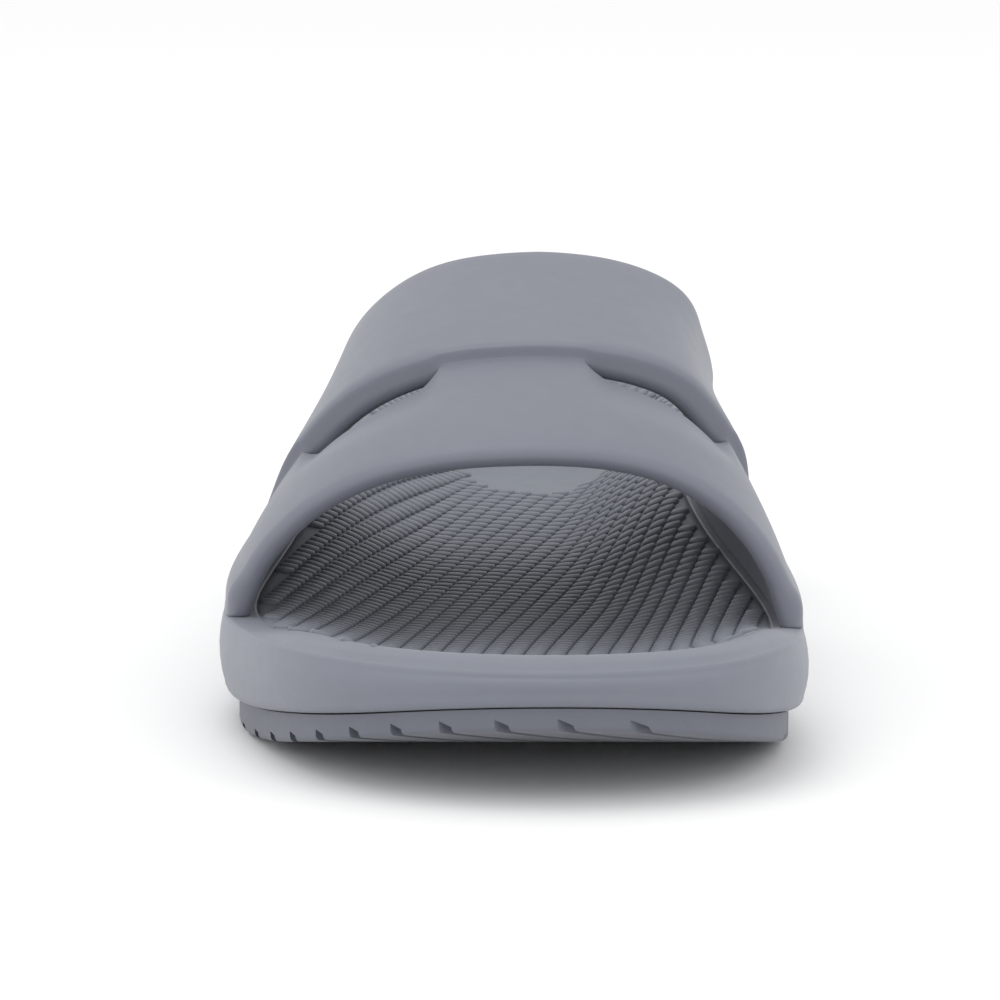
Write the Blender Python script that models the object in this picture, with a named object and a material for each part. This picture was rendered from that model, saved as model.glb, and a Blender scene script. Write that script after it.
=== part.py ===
"""Sport slide sandal for the right foot: outsole, midsole, footbed and a one-piece moulded strap.

Metres, +Z up, toe at -Y, heel at +Y, inner side of the foot at +X, floor at Z = 0.
"""

import math

import bmesh
import bpy
import numpy as np
from mathutils import Matrix

# Driving sizes of the sole
LENGTH = 0.286
BALL_WIDTH = 0.113
TOE_SPRING = 0.0155
HEEL_BEVEL = 0.0045
ARCH_LIFT = 0.0020
RIM_HEIGHT = 0.046
SEAT_HEIGHT = 0.028
RIM_WIDTH = 0.0065
FOOTBED_THICKNESS = 0.0030
OUTSOLE_BAND = 0.0065
OUTSOLE_INSET = 0.0030
SIDE_BULGE = 0.0009
EDGE_ROUND = 0.0024
GAP = 0.0003

# Driving sizes of the tread
GROOVE_WIDTH = 0.0024
GROOVE_DEPTH = 0.0016
GROOVE_PITCH = 0.0124
GROOVE_SLANT = math.radians(56.3)

# Driving sizes of the strap
WALL = 0.0045
CROWN_HEIGHT_FRONT = 0.0575
CROWN_HEIGHT_REAR = 0.0855
BAND_STEP = 0.0022
FOOT_BULGE = 0.0010
FOOT_SETBACK = 0.0003
SLIT_WIDTH = 0.0052

# Places along the sole, as shares of the length
ROCKER_END = 0.285
ROCKER_POWER = 1.6
BEVEL_START = 0.93
ARCH_START = 0.40
ARCH_END = 0.72
CROWN_FRONT = 0.235
CROWN_REAR = 0.525
FOOT_FRONT = {-1: 0.275, 1: 0.215}
FOOT_REAR = {-1: 0.640, 1: 0.660}

# Places across, as shares of the ball width, measured from the line through toe tip and heel centre
AXIS_AT_TOE = 0.071
AXIS_AT_HEEL = 0.044
CROWN_OFFSET = 0.048

# Places on the strap: girth runs from -1 at the outer foot to 1 at the inner foot, width from 0 to 1
STEP_LINE = 0.43
STEP_RUN = 0.014
STEP_FADE = (0.60, 0.86)
SLITS = ((-0.60, -0.155), (0.08, 0.56))
CROWN_RISE_POWER = 0.85
LEVEL_FOOT = 0.14
CROWN_SOFT = 0.03

# Counts of the faceting
ROWS = 48
COLUMNS = 12
GIRTH_STEPS = 44

# Sole outline: share of the length, then outer and inner half width as shares of the ball width
OUTLINE = (
    ("along", "lateral", "medial"),
    (0.00, 0.000, 0.000),
    (0.02, 0.225, 0.225),
    (0.05, 0.335, 0.315),
    (0.10, 0.430, 0.385),
    (0.16, 0.490, 0.425),
    (0.22, 0.530, 0.440),
    (0.30, 0.563, 0.436),
    (0.40, 0.551, 0.396),
    (0.50, 0.512, 0.343),
    (0.60, 0.470, 0.318),
    (0.70, 0.428, 0.322),
    (0.80, 0.392, 0.345),
    (0.87, 0.352, 0.343),
    (0.93, 0.283, 0.285),
    (0.97, 0.197, 0.200),
    (1.00, 0.000, 0.000),
)

# Rim of the side wall, as shares of the rim height at the heel
RIM = (
    ("along", "lateral", "medial"),
    (0.00, 0.570, 0.570),
    (0.07, 0.558, 0.565),
    (0.14, 0.536, 0.545),
    (0.22, 0.500, 0.505),
    (0.32, 0.495, 0.520),
    (0.42, 0.530, 0.600),
    (0.52, 0.600, 0.715),
    (0.62, 0.690, 0.800),
    (0.72, 0.790, 0.860),
    (0.82, 0.895, 0.920),
    (0.92, 0.975, 0.980),
    (1.00, 1.000, 1.000),
)

# Middle line of the footbed, as shares of the seat height
BED = (
    ("along", "height"),
    (0.00, 0.940),
    (0.03, 0.900),
    (0.06, 0.830),
    (0.11, 0.745),
    (0.20, 0.650),
    (0.30, 0.615),
    (0.40, 0.630),
    (0.50, 0.700),
    (0.60, 0.790),
    (0.70, 0.900),
    (0.80, 0.975),
    (0.86, 1.000),
    (0.90, 1.070),
    (0.93, 1.220),
    (0.95, 1.400),
    (0.97, 1.580),
    (1.00, 1.620),
)

# Height of the outsole's side band, as shares of its full height
BAND = (
    ("along", "height"),
    (0.00, 0.640),
    (0.05, 0.660),
    (0.12, 0.820),
    (0.25, 0.970),
    (1.00, 1.000),
)

# Strap sections from foot (0) to crown (1): how far out and how far up, as shares of half width and rise
SECTION = (
    ("girth", "front_out", "front_up", "lateral_out", "medial_out", "rear_up"),
    (0.00, 1.000, 0.000, 1.000, 1.000, 0.000),
    (0.15, 0.945, 0.266, 0.925, 0.985, 0.190),
    (0.30, 0.860, 0.488, 0.845, 0.975, 0.360),
    (0.45, 0.745, 0.676, 0.770, 0.950, 0.530),
    (0.60, 0.600, 0.825, 0.700, 0.890, 0.695),
    (0.75, 0.418, 0.931, 0.560, 0.775, 0.850),
    (0.88, 0.215, 0.984, 0.330, 0.430, 0.960),
    (1.00, 0.000, 1.000, 0.000, 0.000, 1.000),
)


def column(table, name):
    """One named column of a table, as numbers."""
    place = table[0].index(name)
    return np.array([row[place] for row in table[1:]], float)


def curve_through(xs, ys):
    """A natural cubic curve through the points, as a function."""
    count = len(xs)
    step = np.diff(xs)
    matrix = np.zeros((count, count))
    right = np.zeros(count)
    matrix[0, 0] = 1
    matrix[-1, -1] = 1
    for i in range(1, count - 1):
        matrix[i, i - 1] = step[i - 1]
        matrix[i, i] = 2 * (step[i - 1] + step[i])
        matrix[i, i + 1] = step[i]
        right[i] = 6 * ((ys[i + 1] - ys[i]) / step[i] - (ys[i] - ys[i - 1]) / step[i - 1])
    bend = np.linalg.solve(matrix, right)

    def value(x):
        x = min(max(x, xs[0]), xs[-1])
        k = min(max(int(np.searchsorted(xs, x)) - 1, 0), count - 2)
        before = xs[k + 1] - x
        after = x - xs[k]
        width = step[k]
        curved = (bend[k] * before**3 + bend[k + 1] * after**3) / (6 * width)
        low = (ys[k] / width - bend[k] * width / 6) * before
        high = (ys[k + 1] / width - bend[k + 1] * width / 6) * after
        return float(curved + low + high)

    return value


def round_end(along):
    """Turns a share of the length into an angle, so that the outline closes round at toe and heel."""
    return math.acos(1 - 2 * min(max(along, 0.0), 1.0))


def smooth(low, high, x):
    """0 below low, 1 above high, and an even S between."""
    share = min(max((x - low) / (high - low), 0.0), 1.0)
    return share * share * (3 - 2 * share)


SIDE_NAMES = {-1: "lateral", 1: "medial"}
END_ANGLES = [round_end(share) for share in column(OUTLINE, "along")]
HALF_WIDTH = {s: curve_through(END_ANGLES, column(OUTLINE, n)) for s, n in SIDE_NAMES.items()}
RIM_LINE = {s: curve_through(column(RIM, "along"), column(RIM, n)) for s, n in SIDE_NAMES.items()}
BED_LINE = curve_through(column(BED, "along"), column(BED, "height"))
BAND_LINE = curve_through(column(BAND, "along"), column(BAND, "height"))
GIRTH = column(SECTION, "girth")
FRONT_OUT = curve_through(GIRTH, column(SECTION, "front_out"))
FRONT_UP = curve_through(GIRTH, column(SECTION, "front_up"))
REAR_UP = curve_through(GIRTH, column(SECTION, "rear_up"))
REAR_OUT = {s: curve_through(GIRTH, column(SECTION, n + "_out")) for s, n in SIDE_NAMES.items()}


def axis_x(along):
    return BALL_WIDTH * (AXIS_AT_TOE + (AXIS_AT_HEEL - AXIS_AT_TOE) * along)


def edge_x(along, side):
    """Where the outline of the sole lies across, at a share of its length."""
    return axis_x(along) + side * BALL_WIDTH * HALF_WIDTH[side](round_end(along))


def ground(along):
    """Underside of the outsole: toe spring, a slight arch, and a bevel at the heel."""
    if along < ROCKER_END:
        return TOE_SPRING * ((ROCKER_END - along) / ROCKER_END) ** ROCKER_POWER
    if along > BEVEL_START:
        return HEEL_BEVEL * ((along - BEVEL_START) / (1 - BEVEL_START)) ** 2
    if ARCH_START < along < ARCH_END:
        return ARCH_LIFT * math.sin(math.pi * (along - ARCH_START) / (ARCH_END - ARCH_START)) ** 2
    return 0.0


def band_top(along):
    """Top edge of the outsole's side band."""
    return ground(along) + OUTSOLE_BAND * BAND_LINE(along)


def rim(along, side):
    return RIM_HEIGHT * RIM_LINE[side](along)


def rim_across(along, x):
    """Rim height blended from the outer to the inner side, for a point anywhere across."""
    left = edge_x(along, -1)
    share = smooth(left, max(edge_x(along, 1), left + GAP), x)
    return rim(along, -1) * (1 - share) + rim(along, 1) * share


def outline_loop(inset):
    """The outline moved inwards, as outer and inner chains of points from toe to heel."""
    angles = [math.pi * i / ROWS for i in range(ROWS + 1)]
    shares = [(1 - math.cos(angle)) / 2 for angle in angles]
    outer = [(edge_x(t, -1), t * LENGTH) for t in shares]
    inner = [(edge_x(t, 1), t * LENGTH) for t in shares]
    loop = np.array(outer + inner[-2:0:-1])
    along = np.roll(loop, -1, axis=0) - np.roll(loop, 1, axis=0)
    normal = np.stack([-along[:, 1], along[:, 0]], axis=1)
    normal /= np.linalg.norm(normal, axis=1)[:, None]
    moved = loop - inset * normal
    lateral = moved[: ROWS + 1]
    medial = np.concatenate([moved[:1], moved[: ROWS - 1 : -1]])
    return lateral, medial


def at(point, height):
    """A point of the sole in the model's frame: toe at -Y."""
    return (point[0], point[1] - LENGTH / 2, height)


def share_of(point):
    return min(max(point[1] / LENGTH, 0.0), 1.0)


def ring_points(inset, height_of):
    """A ring round the sole as one list: outer chain from toe to heel, then the inner one back."""
    lateral, medial = outline_loop(inset)
    chain = list(lateral) + list(medial[-2:0:-1])
    return [at(p, height_of(share_of(p), p[0])) for p in chain]


def add_ring(mesh, points):
    return [mesh.verts.new(p) for p in points]


def join_rings(mesh, low, high):
    """Side faces between two rings; the first ring lies below or outside the second."""
    count = len(low)
    for i in range(count):
        j = (i + 1) % count
        mesh.faces.new((low[j], low[i], high[i], high[j]))


def cover(mesh, ring, height_of, faces_up):
    """Closes a ring with rows of faces from the outer to the inner side, raised to a height function."""
    rows = [[ring[0]]]
    for i in range(1, ROWS):
        first = ring[i].co
        last = ring[-i].co
        row = [ring[i]]
        for j in range(1, COLUMNS):
            share = j / COLUMNS
            x = first.x + (last.x - first.x) * share
            y = first.y + (last.y - first.y) * share
            along = min(max(y / LENGTH + 0.5, 0.0), 1.0)
            row.append(mesh.verts.new((x, y, height_of(along, x, 2 * share - 1))))
        rows.append(row + [ring[-i]])
    rows.append([ring[ROWS]])
    for near, far in zip(rows, rows[1:]):
        for j in range(COLUMNS):
            corners = [near[min(j, len(near) - 1)], near[min(j + 1, len(near) - 1)]]
            corners += [far[min(j + 1, len(far) - 1)], far[min(j, len(far) - 1)]]
            corners = list(dict.fromkeys(corners))
            if len(corners) > 2:
                mesh.faces.new(corners if faces_up else corners[::-1])


def bed_height(along, x, across):
    """Top of the footbed: a dish that rises from its middle line to the rim."""
    middle = min(SEAT_HEIGHT * BED_LINE(along), rim_across(along, x))
    wall = smooth(0.25, 1.0, abs(across)) ** 1.35
    return middle + (rim_across(along, x) - middle) * wall


def finish(mesh, name, material, collection):
    """Turns the faces into a smooth-shaded object with its material."""
    bmesh.ops.recalc_face_normals(mesh, faces=mesh.faces[:])
    data = bpy.data.meshes.new(name)
    mesh.to_mesh(data)
    mesh.free()
    made = bpy.data.objects.new(name, data)
    collection.objects.link(made)
    if material:
        data.materials.append(material)
    data.shade_smooth()
    data.set_sharp_from_angle(angle=math.radians(40))
    return made


def foam(name, colour, roughness):
    material = bpy.data.materials.new(name)
    material.use_nodes = True
    shader = material.node_tree.nodes["Principled BSDF"]
    shader.inputs["Base Color"].default_value = (*colour, 1)
    shader.inputs["Roughness"].default_value = roughness
    shader.inputs["Metallic"].default_value = 0.0
    return material


def groove_cutter(collection):
    """Slanted bars under the outsole, each following the toe spring and the arch, to cut the tread."""
    mesh = bmesh.new()
    lean = math.tan(GROOVE_SLANT)
    half = GROOVE_WIDTH / 2 / math.cos(GROOVE_SLANT)
    reach = BALL_WIDTH * 0.62
    across = np.linspace(-reach, reach, 15)
    first = -reach * lean
    count = int((LENGTH - 2 * first) / (GROOVE_PITCH * lean))
    for k in range(count + 1):
        start = first + k * GROOVE_PITCH * lean
        rings = []
        for x in across:
            y = start + x * lean
            along = min(max(y / LENGTH, 0.0), 1.0)
            top = ground(along) + GROOVE_DEPTH
            low = top - 4 * GROOVE_DEPTH
            corners = ((y - half, low), (y + half, low), (y + half, top), (y - half, top))
            rings.append([mesh.verts.new((x, c[0] - LENGTH / 2, c[1])) for c in corners])
        mesh.faces.new(rings[0])
        mesh.faces.new(rings[-1][::-1])
        for near, far in zip(rings, rings[1:]):
            for j in range(4):
                n = (j + 1) % 4
                mesh.faces.new((near[n], near[j], far[j], far[n]))
    cutter = finish(mesh, "groove_cutter", None, collection)
    cutter.hide_render = True
    cutter.display_type = "WIRE"
    return cutter


def cut(target, cutter, name):
    modifier = target.modifiers.new(name, "BOOLEAN")
    modifier.operation = "DIFFERENCE"
    modifier.solver = "EXACT"
    modifier.object = cutter


def make_outsole(collection, cutters):
    mesh = bmesh.new()
    foot = OUTSOLE_INSET + EDGE_ROUND / 2
    low = add_ring(mesh, ring_points(foot, lambda t, x: ground(t)))
    side = add_ring(mesh, ring_points(OUTSOLE_INSET, lambda t, x: ground(t) + EDGE_ROUND / 2))
    high = add_ring(mesh, ring_points(OUTSOLE_INSET, lambda t, x: band_top(t)))
    join_rings(mesh, low, side)
    join_rings(mesh, side, high)
    cover(mesh, low, lambda t, x, w: ground(t), False)
    cover(mesh, high, lambda t, x, w: band_top(t), True)
    outsole = finish(mesh, "outsole", foam("outsole_foam", (0.185, 0.200, 0.245), 0.62), collection)
    cut(outsole, groove_cutter(cutters), "grooves")
    return outsole


def make_midsole(collection):
    """The foam body: rounded lower edge, bulged side, rounded rim, and a hollow for the footbed."""
    mesh = bmesh.new()

    def base(t, x):
        return band_top(t) + GAP

    def wall(share):
        return lambda t, x: base(t, x) + (rim_across(t, x) - base(t, x)) * share

    def lifted(rise):
        return lambda t, x: base(t, x) + rise

    def lowered(drop):
        return lambda t, x: rim_across(t, x) - drop

    def hollow(t, x, w):
        return bed_height(t, x, w) - FOOTBED_THICKNESS - GAP

    rings = [
        ring_points(EDGE_ROUND, lifted(0.0)),
        ring_points(EDGE_ROUND * 0.3, lifted(EDGE_ROUND * 0.3)),
        ring_points(0.0, lifted(EDGE_ROUND)),
        ring_points(-SIDE_BULGE, wall(0.55)),
        ring_points(0.0, lowered(EDGE_ROUND)),
        ring_points(EDGE_ROUND * 0.3, lowered(EDGE_ROUND * 0.3)),
        ring_points(EDGE_ROUND, lowered(0.0)),
        ring_points(RIM_WIDTH, lowered(0.0)),
        ring_points(RIM_WIDTH, lowered(FOOTBED_THICKNESS + GAP)),
    ]
    made = [add_ring(mesh, ring) for ring in rings]
    for low, high in zip(made, made[1:]):
        join_rings(mesh, low, high)
    cover(mesh, made[0], lambda t, x, w: base(t, x), False)
    cover(mesh, made[-1], hollow, True)
    return finish(mesh, "midsole", foam("midsole_foam", (0.205, 0.220, 0.268), 0.60), collection)


def make_footbed(collection):
    mesh = bmesh.new()
    inset = RIM_WIDTH + GAP
    low = add_ring(mesh, ring_points(inset, lambda t, x: rim_across(t, x) - FOOTBED_THICKNESS))
    high = add_ring(mesh, ring_points(inset, lambda t, x: rim_across(t, x)))
    join_rings(mesh, low, high)
    cover(mesh, low, lambda t, x, w: bed_height(t, x, w) - FOOTBED_THICKNESS, False)
    cover(mesh, high, bed_height, True)
    return finish(mesh, "footbed", foam("footbed_foam", (0.190, 0.205, 0.250), 0.66), collection)


def strap_middle(girth, width):
    """Middle of the strap's wall. Girth -1 and 1 are the feet and 0 the crown; width 0 is the front."""
    side = -1 if girth < 0 else 1
    up_share = 1 - abs(girth)
    along = FOOT_FRONT[side] + (FOOT_REAR[side] - FOOT_FRONT[side]) * width
    foot_x = edge_x(along, side) - side * (WALL / 2 + FOOT_SETBACK)
    foot_z = rim(along, side) + GAP
    crown_x = BALL_WIDTH * CROWN_OFFSET
    crown_y = LENGTH * (CROWN_FRONT + (CROWN_REAR - CROWN_FRONT) * width)
    rise = CROWN_HEIGHT_REAR - CROWN_HEIGHT_FRONT
    crown_z = CROWN_HEIGHT_FRONT + rise * max(width, 0.0) ** CROWN_RISE_POWER - WALL / 2
    out = FRONT_OUT(up_share) * (1 - width) + REAR_OUT[side](up_share) * width
    eased = 1 - math.hypot(girth, CROWN_SOFT * (1 - abs(girth)))
    up = FRONT_UP(eased) * (1 - width) + REAR_UP(eased) * width
    back = math.sin(up_share * math.pi / 2)
    x = crown_x + (foot_x - crown_x) * out
    y = along * LENGTH + (crown_y - along * LENGTH) * back
    z = foot_z + (crown_z - foot_z) * up
    return np.array([x, y - LENGTH / 2, z])


def strap_normal(girth, width):
    """Outward direction of the strap's wall, turned level at the feet so that they stand flat."""
    step = 0.004
    across = strap_middle(min(girth + step, 1.0), width) - strap_middle(max(girth - step, -1.0), width)
    back = strap_middle(girth, min(width + step, 1.0)) - strap_middle(girth, max(width - step, 0.0))
    normal = np.cross(across, back)
    free = smooth(0.0, LEVEL_FOOT, 1 - abs(girth))
    normal[1:] *= free
    return normal / np.linalg.norm(normal)


def lip(width):
    """Share of the wall's thickness, rounded off at the front and rear edges."""
    reach = WALL / 2 / (LENGTH * (CROWN_REAR - CROWN_FRONT))
    near = min(width, 1 - width) / reach
    if near >= 1:
        return 1.0
    return max(0.30, math.sqrt(1 - (1 - near) ** 2))


def proud(girth, width):
    """How far the rear band stands out from the front one."""
    fade = 1 - smooth(STEP_FADE[0], STEP_FADE[1], abs(girth))
    return BAND_STEP * fade * smooth(STEP_LINE, STEP_LINE + STEP_RUN, width)


def strap_point(girth, width, outer):
    """A point of the outer or inner face of the strap."""
    half = WALL / 2 * lip(width)
    if not outer:
        return strap_middle(girth, width) - half * strap_normal(girth, width)
    swell = FOOT_BULGE * math.exp(-(((1 - abs(girth)) - 0.07) / 0.05) ** 2)
    reach = half + (proud(girth, width) + swell) * lip(width)
    return strap_middle(girth, width) + reach * strap_normal(girth, width)


def grid(mesh, girths, widths, point_of):
    return [[mesh.verts.new(point_of(g, w)) for w in widths] for g in girths]


def skin(mesh, rows):
    for near, far in zip(rows, rows[1:]):
        for j in range(len(near) - 1):
            mesh.faces.new((near[j], near[j + 1], far[j + 1], far[j]))


def close_edges(mesh, outer, inner):
    """Closes the wall at front, rear and both feet."""
    for edge in (0, -1):
        for i in range(len(outer) - 1):
            mesh.faces.new((outer[i][edge], outer[i + 1][edge], inner[i + 1][edge], inner[i][edge]))
        for j in range(len(outer[0]) - 1):
            mesh.faces.new((outer[edge][j], outer[edge][j + 1], inner[edge][j + 1], inner[edge][j]))


def slit_cutter(collection):
    """Two slots shaped like long lenses, right in front of the step, through the whole wall."""
    mesh = bmesh.new()
    deep = 2 * WALL
    span = LENGTH * (CROWN_REAR - CROWN_FRONT)
    for start, end in SLITS:
        girths = np.linspace(start, end, 11)
        rings = []
        for girth in girths:
            share = (girth - start) / (end - start)
            wide = SLIT_WIDTH / span * max(math.sin(math.pi * share), 0.12) ** 0.6
            ring = []
            for width, offset in (
                (STEP_LINE - wide, -deep),
                (STEP_LINE, -deep),
                (STEP_LINE, deep),
                (STEP_LINE - wide, deep),
            ):
                place = strap_middle(girth, width) + offset * strap_normal(girth, width)
                ring.append(mesh.verts.new(place))
            rings.append(ring)
        mesh.faces.new(rings[0])
        mesh.faces.new(rings[-1][::-1])
        for near, far in zip(rings, rings[1:]):
            for j in range(4):
                n = (j + 1) % 4
                mesh.faces.new((near[n], near[j], far[j], far[n]))
    cutter = finish(mesh, "slit_cutter", None, collection)
    cutter.hide_render = True
    cutter.display_type = "WIRE"
    return cutter


def make_upper(collection, cutters):
    """The strap: an arch with a real wall, open at toe, heel and underneath."""
    mesh = bmesh.new()
    lip_reach = WALL / 2 / (LENGTH * (CROWN_REAR - CROWN_FRONT))
    widths = [0.0, lip_reach * 0.3, lip_reach, 0.10, 0.18, 0.27, 0.36]
    widths += [STEP_LINE, STEP_LINE + STEP_RUN / 2, STEP_LINE + STEP_RUN, 0.52, 0.62, 0.73, 0.84]
    widths += [1 - 2 * lip_reach, 1 - lip_reach, 1 - lip_reach * 0.3, 1.0]
    girths = [-1 + 2 * i / GIRTH_STEPS for i in range(GIRTH_STEPS + 1)]
    outer = grid(mesh, girths, widths, lambda g, w: strap_point(g, w, True))
    inner = grid(mesh, girths, widths, lambda g, w: strap_point(g, w, False))
    skin(mesh, outer)
    skin(mesh, inner)
    close_edges(mesh, outer, inner)
    upper = finish(mesh, "upper", foam("strap_foam", (0.200, 0.212, 0.262), 0.58), collection)
    cut(upper, slit_cutter(cutters), "slits")
    return upper


def new_collection(name):
    collection = bpy.data.collections.new(name)
    bpy.context.scene.collection.children.link(collection)
    return collection


def centre(pieces, helpers):
    """Moves everything so that the origin lies under the middle of the whole sandal."""
    points = np.array([vertex.co for piece in pieces for vertex in piece.data.vertices])
    middle = (points.min(axis=0) + points.max(axis=0)) / 2
    for item in pieces + helpers:
        item.data.transform(Matrix.Translation((-middle[0], -middle[1], 0.0)))


def main():
    for old in list(bpy.data.objects):
        bpy.data.objects.remove(old, do_unlink=True)
    sandal = new_collection("sport_slide_sandal")
    cutters = new_collection("cutters")
    pieces = [
        make_outsole(sandal, cutters),
        make_midsole(sandal),
        make_footbed(sandal),
        make_upper(sandal, cutters),
    ]
    centre(pieces, list(cutters.objects))


main()
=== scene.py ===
import math

import bmesh
import bpy
import numpy as np
from mathutils import Matrix, Vector


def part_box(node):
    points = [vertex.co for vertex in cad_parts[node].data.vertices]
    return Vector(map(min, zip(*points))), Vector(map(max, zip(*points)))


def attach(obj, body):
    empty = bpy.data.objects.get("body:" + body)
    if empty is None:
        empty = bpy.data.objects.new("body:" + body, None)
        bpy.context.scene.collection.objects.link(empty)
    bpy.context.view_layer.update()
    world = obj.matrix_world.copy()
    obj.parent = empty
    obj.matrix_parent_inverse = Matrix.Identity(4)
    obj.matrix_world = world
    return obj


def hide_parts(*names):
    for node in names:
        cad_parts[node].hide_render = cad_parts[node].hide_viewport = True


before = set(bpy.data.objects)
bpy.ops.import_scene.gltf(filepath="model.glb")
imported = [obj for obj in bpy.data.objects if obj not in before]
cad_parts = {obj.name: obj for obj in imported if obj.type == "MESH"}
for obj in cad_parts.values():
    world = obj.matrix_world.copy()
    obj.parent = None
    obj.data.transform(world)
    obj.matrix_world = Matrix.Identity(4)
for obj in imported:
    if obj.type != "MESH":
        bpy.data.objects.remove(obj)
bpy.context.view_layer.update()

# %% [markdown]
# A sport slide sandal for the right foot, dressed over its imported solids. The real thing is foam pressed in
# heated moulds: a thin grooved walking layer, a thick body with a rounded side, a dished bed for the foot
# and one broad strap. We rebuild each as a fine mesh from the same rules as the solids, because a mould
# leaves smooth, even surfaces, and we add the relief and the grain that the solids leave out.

for name in ("outsole", "midsole", "footbed", "upper"):
    low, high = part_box(name)
    print(name, "measures", [round((b - a) * 1000, 1) for a, b in zip(low, high)], "mm")

# %% [markdown]
# Every size below is the solids' own, in metres. Tables hold shares of those sizes, a row for each section,
# with named columns. A smooth curve through a short table is how a pattern maker grades a last.

# %% Sizes
LENGTH = 0.286
BALL_WIDTH = 0.113
TOE_SPRING = 0.0155
HEEL_BEVEL = 0.0045
ARCH_LIFT = 0.0020
RIM_HEIGHT = 0.046
SEAT_HEIGHT = 0.028
RIM_WIDTH = 0.0065
OUTSOLE_BAND = 0.0065
OUTSOLE_INSET = 0.0030
SIDE_BULGE = 0.0009
EDGE_ROUND = 0.0024
GAP = 0.0003
WALL = 0.0045
CROWN_HEIGHT_FRONT = 0.0575
CROWN_HEIGHT_REAR = 0.0855
BAND_STEP = 0.0022
FOOT_BULGE = 0.0010
FOOT_SETBACK = 0.0003
SLIT_WIDTH = 0.0052

ROCKER_END = 0.285
ROCKER_POWER = 1.6
BEVEL_START = 0.93
ARCH_START = 0.40
ARCH_END = 0.72
CROWN_FRONT = 0.235
CROWN_REAR = 0.525
FOOT_FRONT = {-1: 0.275, 1: 0.215}
FOOT_REAR = {-1: 0.640, 1: 0.660}
AXIS_AT_TOE = 0.071
AXIS_AT_HEEL = 0.044
CROWN_OFFSET = 0.048
STEP_LINE = 0.43
STEP_RUN = 0.014
STEP_FADE = (0.60, 0.86)
SLITS = ((-0.60, -0.155), (0.08, 0.56))
CROWN_RISE_POWER = 0.85
LEVEL_FOOT = 0.14

# %% Tables
OUTLINE = (
    ("along", "lateral", "medial"),
    (0.00, 0.000, 0.000),
    (0.02, 0.225, 0.225),
    (0.05, 0.335, 0.315),
    (0.10, 0.430, 0.385),
    (0.16, 0.490, 0.425),
    (0.22, 0.530, 0.440),
    (0.30, 0.563, 0.436),
    (0.40, 0.551, 0.396),
    (0.50, 0.512, 0.343),
    (0.60, 0.470, 0.318),
    (0.70, 0.428, 0.322),
    (0.80, 0.392, 0.345),
    (0.87, 0.352, 0.343),
    (0.93, 0.283, 0.285),
    (0.97, 0.197, 0.200),
    (1.00, 0.000, 0.000),
)

RIM = (
    ("along", "lateral", "medial"),
    (0.00, 0.570, 0.570),
    (0.07, 0.558, 0.565),
    (0.14, 0.536, 0.545),
    (0.22, 0.500, 0.505),
    (0.32, 0.495, 0.520),
    (0.42, 0.530, 0.600),
    (0.52, 0.600, 0.715),
    (0.62, 0.690, 0.800),
    (0.72, 0.790, 0.860),
    (0.82, 0.895, 0.920),
    (0.92, 0.975, 0.980),
    (1.00, 1.000, 1.000),
)

BED = (
    ("along", "height"),
    (0.00, 0.940),
    (0.03, 0.900),
    (0.06, 0.830),
    (0.11, 0.745),
    (0.20, 0.650),
    (0.30, 0.615),
    (0.40, 0.630),
    (0.50, 0.700),
    (0.60, 0.790),
    (0.70, 0.900),
    (0.80, 0.975),
    (0.86, 1.000),
    (0.90, 1.070),
    (0.93, 1.220),
    (0.95, 1.400),
    (0.97, 1.580),
    (1.00, 1.620),
)

BAND = (
    ("along", "height"),
    (0.00, 0.640),
    (0.05, 0.660),
    (0.12, 0.820),
    (0.25, 0.970),
    (1.00, 1.000),
)

SECTION = (
    ("girth", "front_out", "front_up", "lateral_out", "medial_out", "rear_up"),
    (0.00, 1.000, 0.000, 1.000, 1.000, 0.000),
    (0.15, 0.945, 0.266, 0.925, 0.985, 0.190),
    (0.30, 0.860, 0.488, 0.845, 0.975, 0.360),
    (0.45, 0.745, 0.676, 0.770, 0.950, 0.530),
    (0.60, 0.600, 0.825, 0.700, 0.890, 0.695),
    (0.75, 0.418, 0.931, 0.560, 0.775, 0.850),
    (0.88, 0.215, 0.984, 0.330, 0.430, 0.960),
    (1.00, 0.000, 1.000, 0.000, 0.000, 1.000),
)


# %% Smooth curves through the tables
def column(table, name):
    place = table[0].index(name)
    return np.array([row[place] for row in table[1:]], float)


def curve_through(xs, ys):
    """A natural cubic curve through the points, as a function."""
    count = len(xs)
    step = np.diff(xs)
    matrix = np.zeros((count, count))
    right = np.zeros(count)
    matrix[0, 0] = 1
    matrix[-1, -1] = 1
    for i in range(1, count - 1):
        matrix[i, i - 1] = step[i - 1]
        matrix[i, i] = 2 * (step[i - 1] + step[i])
        matrix[i, i + 1] = step[i]
        right[i] = 6 * ((ys[i + 1] - ys[i]) / step[i] - (ys[i] - ys[i - 1]) / step[i - 1])
    bend = np.linalg.solve(matrix, right)

    def value(x):
        x = min(max(x, xs[0]), xs[-1])
        k = min(max(int(np.searchsorted(xs, x)) - 1, 0), count - 2)
        before = xs[k + 1] - x
        after = x - xs[k]
        width = step[k]
        curved = (bend[k] * before**3 + bend[k + 1] * after**3) / (6 * width)
        low = (ys[k] / width - bend[k] * width / 6) * before
        high = (ys[k + 1] / width - bend[k + 1] * width / 6) * after
        return float(curved + low + high)

    return value


def round_end(along):
    return math.acos(1 - 2 * min(max(along, 0.0), 1.0))


def smooth(low, high, x):
    """0 below low, 1 above high, and an even S between."""
    share = min(max((x - low) / (high - low), 0.0), 1.0)
    return share * share * (3 - 2 * share)


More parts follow.
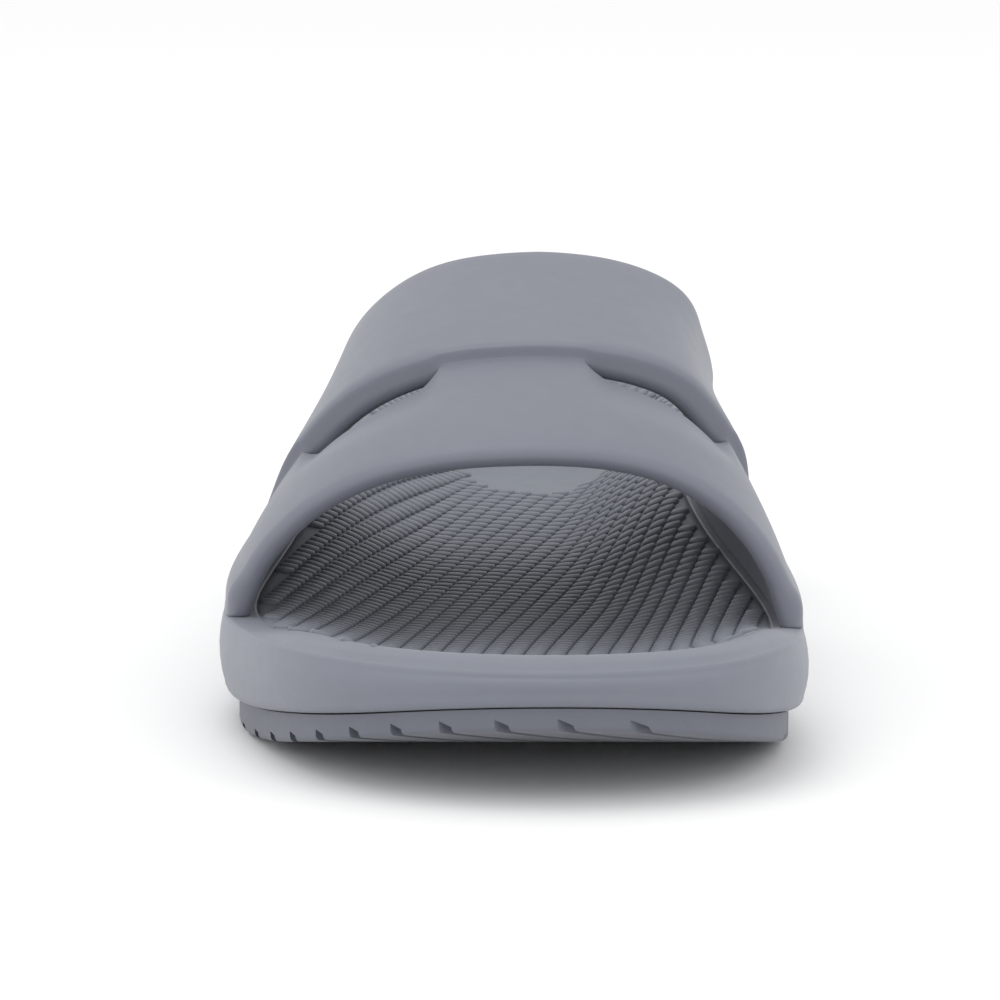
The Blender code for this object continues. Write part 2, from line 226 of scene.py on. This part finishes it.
SIDE_NAMES = {-1: "lateral", 1: "medial"}
END_ANGLES = [round_end(share) for share in column(OUTLINE, "along")]
HALF_WIDTH = {s: curve_through(END_ANGLES, column(OUTLINE, n)) for s, n in SIDE_NAMES.items()}
RIM_LINE = {s: curve_through(column(RIM, "along"), column(RIM, n)) for s, n in SIDE_NAMES.items()}
BED_LINE = curve_through(column(BED, "along"), column(BED, "height"))
BAND_LINE = curve_through(column(BAND, "along"), column(BAND, "height"))
GIRTH = column(SECTION, "girth")
FRONT_OUT = curve_through(GIRTH, column(SECTION, "front_out"))
FRONT_UP = curve_through(GIRTH, column(SECTION, "front_up"))
REAR_UP = curve_through(GIRTH, column(SECTION, "rear_up"))
REAR_OUT = {s: curve_through(GIRTH, column(SECTION, n + "_out")) for s, n in SIDE_NAMES.items()}


# %% [markdown]
# The sole is described by heights along its length: the ground line with its toe spring, the top of the
# walking layer, the rim of the side, and the dish of the bed. The outline gives how far out each lies.

# %% Sole lines
def edge_x(along, side):
    axis = BALL_WIDTH * (AXIS_AT_TOE + (AXIS_AT_HEEL - AXIS_AT_TOE) * along)
    return axis + side * BALL_WIDTH * HALF_WIDTH[side](round_end(along))


def ground(along):
    if along < ROCKER_END:
        return TOE_SPRING * ((ROCKER_END - along) / ROCKER_END) ** ROCKER_POWER
    if along > BEVEL_START:
        return HEEL_BEVEL * ((along - BEVEL_START) / (1 - BEVEL_START)) ** 2
    if ARCH_START < along < ARCH_END:
        return ARCH_LIFT * math.sin(math.pi * (along - ARCH_START) / (ARCH_END - ARCH_START)) ** 2
    return 0.0


def band_top(along):
    return ground(along) + OUTSOLE_BAND * BAND_LINE(along)


def rim_across(along, x):
    left = edge_x(along, -1)
    share = smooth(left, max(edge_x(along, 1), left + GAP), x)
    low = RIM_HEIGHT * RIM_LINE[-1](along)
    return low + (RIM_HEIGHT * RIM_LINE[1](along) - low) * share


def bed_height(along, x, across):
    """Top of the footbed: a dish that rises from its middle line to the rim."""
    rim = rim_across(along, x)
    middle = min(SEAT_HEIGHT * BED_LINE(along), rim)
    wall = smooth(0.25, 1.0, abs(across)) ** 1.35
    return middle + (rim - middle) * wall


# %% [markdown]
# The crest is the soft roll of foam between the side's top edge and the dish. It stands highest round the
# toe, where it keeps the toes in, and dies away before the strap.

# %% Crest of the rim
CREST = 0.0021
CREST_FADE = (0.12, 0.24)


def crest(along):
    return CREST * (1 - smooth(CREST_FADE[0], CREST_FADE[1], along))


# %% Rings and covers
ROWS = 150
COLUMNS = 56


def outline_loop(inset):
    """The outline moved inwards, as outer and inner chains of points from toe to heel."""
    shares = [(1 - math.cos(math.pi * i / ROWS)) / 2 for i in range(ROWS + 1)]
    outer = [(edge_x(t, -1), t * LENGTH) for t in shares]
    inner = [(edge_x(t, 1), t * LENGTH) for t in shares]
    loop = np.array(outer + inner[-2:0:-1])
    along = np.roll(loop, -1, axis=0) - np.roll(loop, 1, axis=0)
    normal = np.stack([-along[:, 1], along[:, 0]], axis=1)
    normal /= np.linalg.norm(normal, axis=1)[:, None]
    return loop - inset * normal


def share_at(y):
    return min(max(y / LENGTH + 0.5, 0.0), 1.0)


def add_ring(mesh, inset, height_of):
    points = [(x, y - LENGTH / 2) for x, y in outline_loop(inset)]
    return [mesh.verts.new((x, y, height_of(share_at(y), x))) for x, y in points]


def join_rings(mesh, rings):
    for low, high in zip(rings, rings[1:]):
        for i in range(len(low)):
            j = (i + 1) % len(low)
            mesh.faces.new((low[j], low[i], high[i], high[j]))


def cover(mesh, ring, height_of, columns):
    """Closes a ring with rows of faces from side to side, raised to a height function."""
    rows = [[ring[0]]]
    for i in range(1, ROWS):
        first = ring[i].co
        last = ring[-i].co
        row = [ring[i]]
        for j in range(1, columns):
            share = j / columns
            x = first.x + (last.x - first.x) * share
            y = first.y + (last.y - first.y) * share
            row.append(mesh.verts.new((x, y, height_of(share_at(y), x, 2 * share - 1))))
        rows.append(row + [ring[-i]])
    rows.append([ring[ROWS]])
    for near, far in zip(rows, rows[1:]):
        for j in range(columns):
            corners = [near[min(j, len(near) - 1)], near[min(j + 1, len(near) - 1)]]
            corners += [far[min(j + 1, len(far) - 1)], far[min(j, len(far) - 1)]]
            corners = list(dict.fromkeys(corners))
            if len(corners) > 2:
                mesh.faces.new(corners)


def finish(mesh, name, material):
    """Turns the faces outwards and makes a smooth-shaded object of them."""
    bmesh.ops.recalc_face_normals(mesh, faces=mesh.faces[:])
    data = bpy.data.meshes.new(name)
    mesh.to_mesh(data)
    mesh.free()
    data.materials.append(material)
    data.shade_smooth()
    made = bpy.data.objects.new(name, data)
    bpy.context.scene.collection.objects.link(made)
    print(name, "has", len(data.polygons), "faces")
    return made


# %% [markdown]
# Foam straight from the mould has one colour all through. What the eye reads is its skin: a fine pebble from
# the blasted mould, a soft sheen, slow clouds of tone, and small rubbed specks all over. Node
# trees get long quickly, so a small class lets us write their maths as plain expressions.

# %% A socket that can be added and multiplied
class Value:
    def __init__(self, tree, socket):
        self.tree = tree
        self.socket = socket

    def maths(self, operation, *others):
        return node(self.tree, "ShaderNodeMath", {"operation": operation}, [self, *others])

    def __add__(self, other):
        return self.maths("ADD", other)

    def __mul__(self, other):
        return self.maths("MULTIPLY", other)

    def __sub__(self, other):
        return self.maths("SUBTRACT", other)

    def __rsub__(self, other):
        return node(self.tree, "ShaderNodeMath", {"operation": "SUBTRACT"}, [other, self])

    __radd__ = __add__
    __rmul__ = __mul__


def node(tree, kind, settings=None, inputs=None, output=0):
    """Any node: its settings first, then values or links for its sockets, by place or by name."""
    made = tree.nodes.new(kind)
    for key, value in (settings or {}).items():
        setattr(made, key, value)
    pairs = enumerate(inputs) if isinstance(inputs, list) else (inputs or {}).items()
    for key, value in pairs:
        if isinstance(value, Value):
            tree.links.new(value.socket, made.inputs[key])
        else:
            made.inputs[key].default_value = value
    return Value(tree, made.outputs[output])


# %% The foam's finish
def foam(name, colour, shade, roughness, pebble, cloud=0.5):
    """Matte foam: slow clouds between two tones, pebbled skin, and slightly uneven gloss."""
    material = bpy.data.materials.new(name)
    material.use_nodes = True
    tree = material.node_tree
    shader = tree.nodes["Principled BSDF"]
    place = node(tree, "ShaderNodeTexCoord", output=3)
    clouds = node(tree, "ShaderNodeTexNoise", None, {"Vector": place, "Scale": 34.0, "Detail": 4.0})
    skin = node(tree, "ShaderNodeTexNoise", None, {"Vector": place, "Scale": 1500.0, "Detail": 3.0})
    cells = node(tree, "ShaderNodeTexVoronoi", None, {"Vector": place, "Scale": 1150.0})
    rub = node(tree, "ShaderNodeTexNoise", None, {"Vector": place, "Scale": 240.0, "Detail": 6.0})
    speck = (rub - 0.62) * 4.0
    mix = node(
        tree,
        "ShaderNodeMix",
        {"data_type": "RGBA", "clamp_factor": True},
        {0: clouds * cloud + speck * 0.10 + skin * 0.18, 6: (*colour, 1), 7: (*shade, 1)},
        output=2,
    )
    height = skin * 0.5 + cells * 0.5
    bump = node(
        tree, "ShaderNodeBump", None, {"Strength": 0.55, "Distance": pebble, "Height": height}
    )
    gloss = clouds * 0.10 + rub * 0.12 + (roughness - 0.11)
    tree.links.new(mix.socket, shader.inputs["Base Color"])
    tree.links.new(bump.socket, shader.inputs["Normal"])
    tree.links.new(gloss.socket, shader.inputs["Roughness"])
    shader.inputs["Specular IOR Level"].default_value = 0.42
    shader.inputs["Sheen Weight"].default_value = 0.12
    shader.inputs["Sheen Roughness"].default_value = 0.45
    return material


# The foam is one colour all through, but the strap is given a darker tone as painted shade, and the midsole a
# lighter one as painted light.
STRAP_FOAM = foam("strap_foam", (0.176, 0.187, 0.225), (0.157, 0.167, 0.203), 0.50, 0.00006)
BODY_FOAM = foam("midsole_foam", (0.191, 0.205, 0.244), (0.170, 0.181, 0.218), 0.50, 0.00006)
BED_FOAM = foam("footbed_foam", (0.182, 0.198, 0.230), (0.157, 0.169, 0.200), 0.58, 0.00005)
GROUND_FOAM = foam("outsole_foam", (0.160, 0.169, 0.203), (0.129, 0.138, 0.165), 0.66, 0.00010, 0.8)


# %% [markdown]
# The midsole is the body of the sandal. It is a stack of rings round the outline, joined by faces: a rolled
# lower edge, a slightly swelling side, a tight upper edge, and the crest that leads down into the dish.

# %% Midsole
def make_midsole():
    mesh = bmesh.new()
    rings = []

    def base(t, x):
        return band_top(t) + GAP

    def ring(inset, height):
        rings.append(add_ring(mesh, inset, height))

    ring(OUTSOLE_INSET * 2, base)
    for step in range(7):
        angle = math.pi / 2 * step / 6
        out = EDGE_ROUND * (1 - math.sin(angle))
        up = EDGE_ROUND * (1 - math.cos(angle))
        ring(out, lambda t, x, up=up: base(t, x) + up)
    for share in (0.15, 0.35, 0.55, 0.75, 0.90):
        swell = SIDE_BULGE * math.sin(math.pi * share) ** 0.8

        def height(t, x, share=share):
            low = base(t, x) + EDGE_ROUND
            return low + (rim_across(t, x) - EDGE_ROUND / 2 - low) * share

        ring(-swell, height)
    for step in range(6):
        angle = math.pi / 2 * step / 5
        out = EDGE_ROUND / 2 * (1 - math.cos(angle))
        down = EDGE_ROUND / 2 * (1 - math.sin(angle))
        ring(out, lambda t, x, down=down: rim_across(t, x) - down)
    for share in (0.35, 0.55, 0.75, 0.90, 1.0):
        rise = math.sin(share * math.pi / 2) ** 1.2
        ring(RIM_WIDTH * share, lambda t, x, rise=rise: rim_across(t, x) + crest(t) * rise)
    ring(RIM_WIDTH, lambda t, x: rim_across(t, x) + crest(t) - 0.0025)
    join_rings(mesh, rings)
    cover(mesh, rings[0], lambda t, x, w: base(t, x), 10)
    cover(mesh, rings[-1], lambda t, x, w: bed_height(t, x, w) - 0.0032, 24)
    return finish(mesh, "midsole_body", BODY_FOAM)


midsole = make_midsole()

# %% [markdown]
# The rules above measure from the toe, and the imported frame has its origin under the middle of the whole
# sandal. The midsole is the widest and longest piece, so its box in both gives the move from one to the other.

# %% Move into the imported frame
low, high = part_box("midsole")
own = np.array([vertex.co for vertex in midsole.data.vertices])
SHIFT = (np.array(low) + np.array(high)) / 2 - (own.min(axis=0) + own.max(axis=0)) / 2
SHIFT[2] = 0.0
print("the rules' frame moves by", [round(v * 1000, 2) for v in SHIFT], "mm")


def settle(piece):
    piece.data.transform(Matrix.Translation(Vector(SHIFT)))
    return piece


settle(midsole)
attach(midsole, "root")
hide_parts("midsole")


# %% [markdown]
# The bed is a dish. It begins on the crest, level with the midsole's foam, and falls to the ball and heel
# seats. Near its edge the height follows the crest first and then the dish, so that no seam shows.

# %% Footbed
def bed_top(along, x, across):
    edge = smooth(0.80, 1.0, abs(across))
    ends = 1 - smooth(0.0, 0.06, min(along - 0.02, 0.98 - along))
    return bed_height(along, x, across) + crest(along) * max(edge, ends)


def make_footbed():
    mesh = bmesh.new()
    low_ring = add_ring(mesh, RIM_WIDTH, lambda t, x: rim_across(t, x) + crest(t) - 0.0024)
    high_ring = add_ring(mesh, RIM_WIDTH, lambda t, x: rim_across(t, x) + crest(t))
    join_rings(mesh, [low_ring, high_ring])
    cover(mesh, low_ring, lambda t, x, w: bed_height(t, x, w) - 0.0028, 24)
    cover(mesh, high_ring, bed_top, COLUMNS)
    return settle(finish(mesh, "footbed_dish", BED_FOAM))


footbed = make_footbed()
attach(footbed, "root")
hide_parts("footbed")

# %% [markdown]
# The bed's skin is woven-looking: long arcs run from toe to heel, and short grooves cross them, staggered from
# one arc to the next. That leaves some two thousand small pads. A pad follows a rule, so we work out where
# each lies and which way it faces, and Geometry Nodes set one low pillow on every place.

# %% Where the pads lie
PAD_ACROSS = 0.0041
PAD_ALONG = 0.0029
ARC_TURN = 0.18
TOE_BOW = 0.010
HEEL_BOW = 0.034
PAD_MARGIN = 0.0022
PATCH_CENTRE = (0.0065, 0.815)
PATCH_HALF = (0.0165, 0.0230)


def inner_edges(along):
    return edge_x(along, -1) + RIM_WIDTH + PAD_MARGIN, edge_x(along, 1) - RIM_WIDTH - PAD_MARGIN


def arc_x(start, along):
    """An arc swings out towards the little toe, turns at the ball, and leans over to the inner heel."""
    ahead = max(ARC_TURN - along, 0.0) / ARC_TURN
    behind = max(along - ARC_TURN, 0.0) / 0.5
    return start + TOE_BOW * ahead**2 + HEEL_BOW * behind**1.5


def across_at(along, x):
    left = edge_x(along, -1) + RIM_WIDTH
    right = edge_x(along, 1) - RIM_WIDTH
    return 2 * (x - left) / (right - left) - 1


def bed_point(x, along):
    return np.array([x, along * LENGTH - LENGTH / 2, bed_top(along, x, across_at(along, x))])


def pad_places():
    places = []
    normals = []
    headings = []
    for arc in range(-36, 18):
        start = arc * PAD_ACROSS
        stagger = 0.5 * (arc % 2)
        steps = int(LENGTH / PAD_ALONG)
        for k in range(steps):
            along = (k + stagger) * PAD_ALONG / LENGTH
            if not 0.048 < along < 0.955:
                continue
            x = arc_x(start, along)
            left, right = inner_edges(along)
            if not left < x < right:
                continue
            off_x = (x - PATCH_CENTRE[0]) / PATCH_HALF[0]
            off_y = (along - PATCH_CENTRE[1]) * LENGTH / PATCH_HALF[1]
            if off_x**2 + off_y**2 < 1:
                continue
            small = 0.0008
            here = bed_point(x, along)
            side = bed_point(x + small, along) - here
            back = bed_point(arc_x(start, along + small), along + small) - here
            normal = np.cross(side, back)
            if normal[2] < 0.25 * np.linalg.norm(normal):
                continue
            places.append(here + SHIFT)
            normals.append(normal / np.linalg.norm(normal))
            headings.append(back / np.linalg.norm(back))
    print("the bed carries", len(places), "pads")
    return places, normals, headings


# %% The pads, set by Geometry Nodes
def vector_attribute(data, name, values):
    layer = data.attributes.new(name, "FLOAT_VECTOR", "POINT")
    layer.data.foreach_set("vector", np.array(values, np.float32).ravel())


def named_input(tree, name, kind, value):
    socket = tree.interface.new_socket(name, in_out="INPUT", socket_type=kind)
    if value is not None:
        socket.default_value = value
    return socket.identifier


def pad_tree(material):
    """One pillow on each point: X across the arc, Y along it, Z out of the bed."""
    tree = bpy.data.node_groups.new("bed_pads", "GeometryNodeTree")
    named_input(tree, "Geometry", "NodeSocketGeometry", None)
    size = named_input(tree, "Pad size", "NodeSocketVector", (0.004, 0.003, 0.001))
    tree.interface.new_socket("Geometry", in_out="OUTPUT", socket_type="NodeSocketGeometry")
    entry = tree.nodes.new("NodeGroupInput")
    leave = tree.nodes.new("NodeGroupOutput")
    cube = tree.nodes.new("GeometryNodeMeshCube")
    soft = tree.nodes.new("GeometryNodeSubdivisionSurface")
    soft.inputs["Level"].default_value = 1
    soft.inputs["Edge Crease"].default_value = 0.62
    round_off = tree.nodes.new("GeometryNodeSetShadeSmooth")
    normal = tree.nodes.new("GeometryNodeInputNamedAttribute")
    normal.data_type = "FLOAT_VECTOR"
    normal.inputs["Name"].default_value = "normal"
    heading = tree.nodes.new("GeometryNodeInputNamedAttribute")
    heading.data_type = "FLOAT_VECTOR"
    heading.inputs["Name"].default_value = "heading"
    turn = tree.nodes.new("FunctionNodeAxesToRotation")
    turn.primary_axis = "Z"
    turn.secondary_axis = "Y"
    copies = tree.nodes.new("GeometryNodeInstanceOnPoints")
    real = tree.nodes.new("GeometryNodeRealizeInstances")
    paint = tree.nodes.new("GeometryNodeSetMaterial")
    paint.inputs["Material"].default_value = material
    link = tree.links.new
    link(entry.outputs["Pad size"], cube.inputs["Size"])
    link(cube.outputs["Mesh"], soft.inputs["Mesh"])
    link(soft.outputs["Mesh"], round_off.inputs["Geometry"])
    link(entry.outputs["Geometry"], copies.inputs["Points"])
    link(round_off.outputs["Geometry"], copies.inputs["Instance"])
    link(normal.outputs["Attribute"], turn.inputs["Primary Axis"])
    link(heading.outputs["Attribute"], turn.inputs["Secondary Axis"])
    link(turn.outputs["Rotation"], copies.inputs["Rotation"])
    link(copies.outputs["Instances"], real.inputs["Geometry"])
    link(real.outputs["Geometry"], paint.inputs["Geometry"])
    link(paint.outputs["Geometry"], leave.inputs["Geometry"])
    return tree, size


def grown(name, points, attributes, tree, values):
    """A plain mesh of what the tree makes on the points."""
    data = bpy.data.meshes.new(name + "_points")
    data.from_pydata([tuple(p) for p in points], [], [])
    for key, rows in attributes.items():
        vector_attribute(data, key, rows)
    holder = bpy.data.objects.new(name + "_points", data)
    bpy.context.scene.collection.objects.link(holder)
    modifier = holder.modifiers.new("grow", "NODES")
    modifier.node_group = tree
    for identifier, value in values.items():
        modifier[identifier] = value
    graph = bpy.context.evaluated_depsgraph_get()
    mesh = bpy.data.meshes.new_from_object(holder.evaluated_get(graph))
    mesh.name = name
    bpy.data.objects.remove(holder, do_unlink=True)
    made = bpy.data.objects.new(name, mesh)
    bpy.context.scene.collection.objects.link(made)
    print(name, "has", len(mesh.polygons), "faces")
    return made


PAD_TREE, PAD_SIZE = pad_tree(BED_FOAM)
pad_points, pad_normals, pad_headings = pad_places()
pads = grown(
    "footbed_pads",
    pad_points,
    {"normal": pad_normals, "heading": pad_headings},
    PAD_TREE,
    {PAD_SIZE: (PAD_ACROSS * 1.02, PAD_ALONG * 1.02, 0.0016)},
)
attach(pads, "root")


# %% [markdown]
# The strap is one moulding with a real wall. Its middle surface is blended from a front and a rear section;
# the wall's two faces stand off it along its normal. Lips are rounded by thinning the wall at its edges. Rows
# of the mesh open round each slit, and the rear band stands proud behind them.

# %% Strap surface
SPAN = LENGTH * (CROWN_REAR - CROWN_FRONT)
LIP = WALL * 0.50 / SPAN
LOOK_STEP = 0.004
TUCK = 0.0024
CROWN_SOFT = 0.03


def strap_middle(girth, width):
    side = -1 if girth < 0 else 1
    rise_share = 1 - abs(girth)
    along = FOOT_FRONT[side] + (FOOT_REAR[side] - FOOT_FRONT[side]) * width
    foot_x = edge_x(along, side) - side * (WALL / 2 + FOOT_SETBACK)
    foot_z = RIM_HEIGHT * RIM_LINE[side](along) + GAP / 3
    crown_x = BALL_WIDTH * CROWN_OFFSET
    crown_y = LENGTH * (CROWN_FRONT + (CROWN_REAR - CROWN_FRONT) * width)
    rise = CROWN_HEIGHT_REAR - CROWN_HEIGHT_FRONT
    crown_z = CROWN_HEIGHT_FRONT + rise * max(width, 0.0) ** CROWN_RISE_POWER - WALL / 2
    out = FRONT_OUT(rise_share) * (1 - width) + REAR_OUT[side](rise_share) * width
    eased = 1 - math.hypot(girth, CROWN_SOFT * (1 - abs(girth)))
    up = FRONT_UP(eased) * (1 - width) + REAR_UP(eased) * width
    back = math.sin(rise_share * math.pi / 2)
    x = crown_x + (foot_x - crown_x) * out
    y = along * LENGTH + (crown_y - along * LENGTH) * back
    return np.array([x, y - LENGTH / 2, foot_z + (crown_z - foot_z) * up])


def strap_normal(girth, width):
    across = strap_middle(min(girth + LOOK_STEP, 1.0), width)
    across = across - strap_middle(max(girth - LOOK_STEP, -1.0), width)
    back = strap_middle(girth, min(width + LOOK_STEP, 1.0))
    back = back - strap_middle(girth, max(width - LOOK_STEP, 0.0))
    normal = np.cross(across, back)
    normal[1:] *= smooth(0.0, LEVEL_FOOT, 1 - abs(girth))
    return normal / np.linalg.norm(normal)


def slit_share(girth):
    """0 away from the slits, and an arch from 0 to 1 and back along each of them."""
    for start, end in SLITS:
        if start < girth < end:
            return math.sin(math.pi * (girth - start) / (end - start)) ** 0.75
    return 0.0


def slit_half(girth):
    return max(SLIT_WIDTH / SPAN * slit_share(girth), LIP * 0.1)


def rounded(distance):
    """Share of the wall left at a distance from its edge."""
    near = min(max(distance / LIP, 0.0), 1.0)
    return math.sqrt(max(1 - (1 - near) ** 2, 0.0)) * 0.88 + 0.12


def thickness(girth, width):
    share = rounded(min(width, 1 - width))
    opening = smooth(0.0, 0.25, slit_share(girth))
    if opening > 0:
        start = STEP_LINE - slit_half(girth)
        gap = start - width if width <= start else width - STEP_LINE
        share *= 1 - opening * (1 - rounded(max(gap, 0.0)))
    return share


def strap_point(girth, width, outer):
    share = thickness(girth, width)
    half = WALL / 2 * share
    opening = smooth(0.0, 0.5, slit_share(girth))
    split = STEP_LINE - slit_half(girth)
    tuck = TUCK * opening * smooth(split - 0.22, split, width) * (width <= split + LIP / 20)
    middle = strap_middle(girth, width) - tuck * strap_normal(girth, width)
    if not outer:
        return middle - half * strap_normal(girth, width)
    fade = 1 - smooth(STEP_FADE[0], STEP_FADE[1], abs(girth))
    proud = BAND_STEP * fade * smooth(STEP_LINE, STEP_LINE + STEP_RUN, width)
    swell = FOOT_BULGE * math.exp(-(((1 - abs(girth)) - 0.07) / 0.05) ** 2)
    reach = half + (proud + swell) * share
    return middle + reach * strap_normal(girth, width)


# %% Strap mesh
GIRTH_STEPS = 220
LIP_ROWS = (0.0, 0.04, 0.13, 0.28, 0.50, 0.75, 1.0)


def strap_rows(girth):
    """Widths of the mesh rows, in front of the slit and behind it."""
    split = STEP_LINE - slit_half(girth)
    lips = [LIP * share for share in LIP_ROWS]
    front_flat = [LIP + (split - 2 * LIP) * k / 12 for k in range(1, 12)]
    front = lips + front_flat + [split - value for value in lips[::-1]]
    start = STEP_LINE
    step_rows = [start + STEP_RUN * share for share in (0.0, 0.1, 0.22, 0.36, 0.5, 0.64, 0.8, 1.0)]
    rear_start = start + STEP_RUN
    rear_flat = [rear_start + (1 - LIP - rear_start) * k / 20 for k in range(1, 20)]
    rear = step_rows + rear_flat + [1 - value for value in lips[::-1]]
    return front, rear


def make_strap():
    mesh = bmesh.new()
    girths = [-1 + 2 * i / GIRTH_STEPS for i in range(GIRTH_STEPS + 1)]
    fronts = []
    skins = {True: [], False: []}
    for girth in girths:
        front, rear = strap_rows(girth)
        fronts.append(len(front))
        for outer in (True, False):
            points = [strap_point(girth, width, outer) for width in front + rear]
            skins[outer].append([mesh.verts.new(point) for point in points])
    split = fronts[0] - 1
    open_at = [slit_share((a + b) / 2) > 0 for a, b in zip(girths, girths[1:])]
    outer = skins[True]
    inner = skins[False]
    last = len(outer[0]) - 1
    for i in range(GIRTH_STEPS):
        for rows in (outer, inner):
            for j in range(last):
                if j == split and open_at[i]:
                    continue
                mesh.faces.new((rows[i][j], rows[i][j + 1], rows[i + 1][j + 1], rows[i + 1][j]))
        edges = [0, last] + ([split, split + 1] if open_at[i] else [])
        for j in edges:
            mesh.faces.new((outer[i][j], outer[i + 1][j], inner[i + 1][j], inner[i][j]))
    for i in range(1, GIRTH_STEPS):
        if open_at[i - 1] != open_at[i]:
            j = split
            mesh.faces.new((outer[i][j], outer[i][j + 1], inner[i][j + 1], inner[i][j]))
    for i in (0, GIRTH_STEPS):
        for j in range(last):
            mesh.faces.new((outer[i][j], outer[i][j + 1], inner[i][j + 1], inner[i][j]))
    return settle(finish(mesh, "strap", STRAP_FOAM))


strap = make_strap()
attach(strap, "root")
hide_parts("upper")

# %% [markdown]
# The walking layer sits in a little from the side all round, so that it never rubs. Its tread is a set of
# slanted grooves that run out at the edge as dark notches, seen best where the toe curls up. Each cutter is a
# bar that follows the ground line, and one Boolean takes them all out of the layer.

# %% Outsole
GROOVE_WIDTH = 0.0024
GROOVE_DEPTH = 0.0016
GROOVE_PITCH = 0.0124
GROOVE_LEAN = 1.5
CUTTER_STEPS = 40


def groove_bars():
    mesh = bmesh.new()
    half = GROOVE_WIDTH / 2 * math.hypot(1, GROOVE_LEAN)
    reach = BALL_WIDTH * 0.62
    start = -reach * GROOVE_LEAN
    while start < LENGTH + reach * GROOVE_LEAN:
        rings = []
        for x in np.linspace(-reach, reach, CUTTER_STEPS):
            y = start + x * GROOVE_LEAN
            top = ground(min(max(y / LENGTH, 0.0), 1.0)) + GROOVE_DEPTH
            low = top - 4 * GROOVE_DEPTH
            corners = ((y - half, low), (y + half, low), (y + half, top), (y - half, top))
            rings.append([mesh.verts.new((x, c[0] - LENGTH / 2, c[1])) for c in corners])
        mesh.faces.new(rings[0])
        mesh.faces.new(rings[-1])
        join_rings(mesh, rings)
        start += GROOVE_PITCH * GROOVE_LEAN
    return settle(finish(mesh, "groove_bars", GROUND_FOAM))


def make_outsole():
    mesh = bmesh.new()
    rings = [add_ring(mesh, OUTSOLE_INSET + EDGE_ROUND / 2, lambda t, x: ground(t))]
    for step in range(1, 5):
        angle = math.pi / 2 * step / 4
        out = EDGE_ROUND / 2 * (1 - math.sin(angle))
        up = EDGE_ROUND / 2 * (1 - math.cos(angle))
        rings.append(add_ring(mesh, OUTSOLE_INSET + out, lambda t, x, up=up: ground(t) + up))
    rings.append(add_ring(mesh, OUTSOLE_INSET, lambda t, x: band_top(t)))
    join_rings(mesh, rings)
    cover(mesh, rings[0], lambda t, x, w: ground(t), 12)
    cover(mesh, rings[-1], lambda t, x, w: band_top(t), 4)
    layer = settle(finish(mesh, "walking_layer", GROUND_FOAM))
    bars = groove_bars()
    carve = layer.modifiers.new("grooves", "BOOLEAN")
    carve.object = bars
    carve.solver = "EXACT"
    graph = bpy.context.evaluated_depsgraph_get()
    carved = bpy.data.meshes.new_from_object(layer.evaluated_get(graph))
    layer.modifiers.clear()
    layer.data = carved
    carved.shade_smooth()
    carved.set_sharp_from_angle(angle=math.radians(35))
    bpy.data.objects.remove(bars, do_unlink=True)
    print("the carved layer has", len(carved.polygons), "faces")
    return layer


outsole = make_outsole()
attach(outsole, "root")
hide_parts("outsole")

# %% [markdown]
# The photograph is taken from in front of the toe with a long lens, nine degrees above the floor, against
# plain white. A wide soft light overhead and two paler ones at the sides give the same quiet shading.

# %% Floor, light and camera
CAMERA_DISTANCE = 1.30
CAMERA_RISE = math.radians(9)
CAMERA_TARGET = Vector((-0.0022, -0.068, 0.0465))
LENS_PIXELS = 6656
SENSOR = 36.0


def white(name, strength):
    material = bpy.data.materials.new(name)
    material.use_nodes = True
    shader = material.node_tree.nodes["Principled BSDF"]
    shader.inputs["Base Color"].default_value = (strength, strength, strength, 1)
    shader.inputs["Roughness"].default_value = 0.9
    return material


bpy.ops.mesh.primitive_plane_add(size=12, location=(0, 0, 0))
floor = bpy.context.object
floor.name = "floor"
floor.data.materials.append(white("floor_white", 0.93))

world = bpy.data.worlds.new("studio")
bpy.context.scene.world = world
world.use_nodes = True
world.node_tree.nodes["Background"].inputs["Color"].default_value = (1, 1, 1, 1)
world.node_tree.nodes["Background"].inputs["Strength"].default_value = 1.0


def soft_light(name, place, size, power):
    data = bpy.data.lights.new(name, "AREA")
    data.shape = "RECTANGLE"
    data.size = size[0]
    data.size_y = size[1]
    data.energy = power
    lamp = bpy.data.objects.new(name, data)
    lamp.location = place
    lamp.rotation_euler = (Vector((0, 0, 0.04)) - Vector(place)).to_track_quat("-Z", "Y").to_euler()
    bpy.context.scene.collection.objects.link(lamp)


soft_light("overhead", (-0.25, -0.15, 1.5), (1.0, 1.0), 5)
soft_light("left_side", (-1.3, -0.7, 0.7), (0.8, 0.8), 1.5)
soft_light("right_side", (1.3, -0.5, 0.8), (0.8, 0.8), 1.5)

bpy.context.scene.view_settings.view_transform = "Standard"

camera_data = bpy.data.cameras.new("camera")
camera_data.sensor_width = SENSOR
camera_data.lens = LENS_PIXELS * SENSOR / 1000
camera = bpy.data.objects.new("camera", camera_data)
away = Vector((0, -math.cos(CAMERA_RISE), math.sin(CAMERA_RISE)))
camera.location = CAMERA_TARGET + CAMERA_DISTANCE * away
camera.rotation_euler = (-away).to_track_quat("-Z", "Y").to_euler()
bpy.context.scene.collection.objects.link(camera)
bpy.context.scene.camera = camera
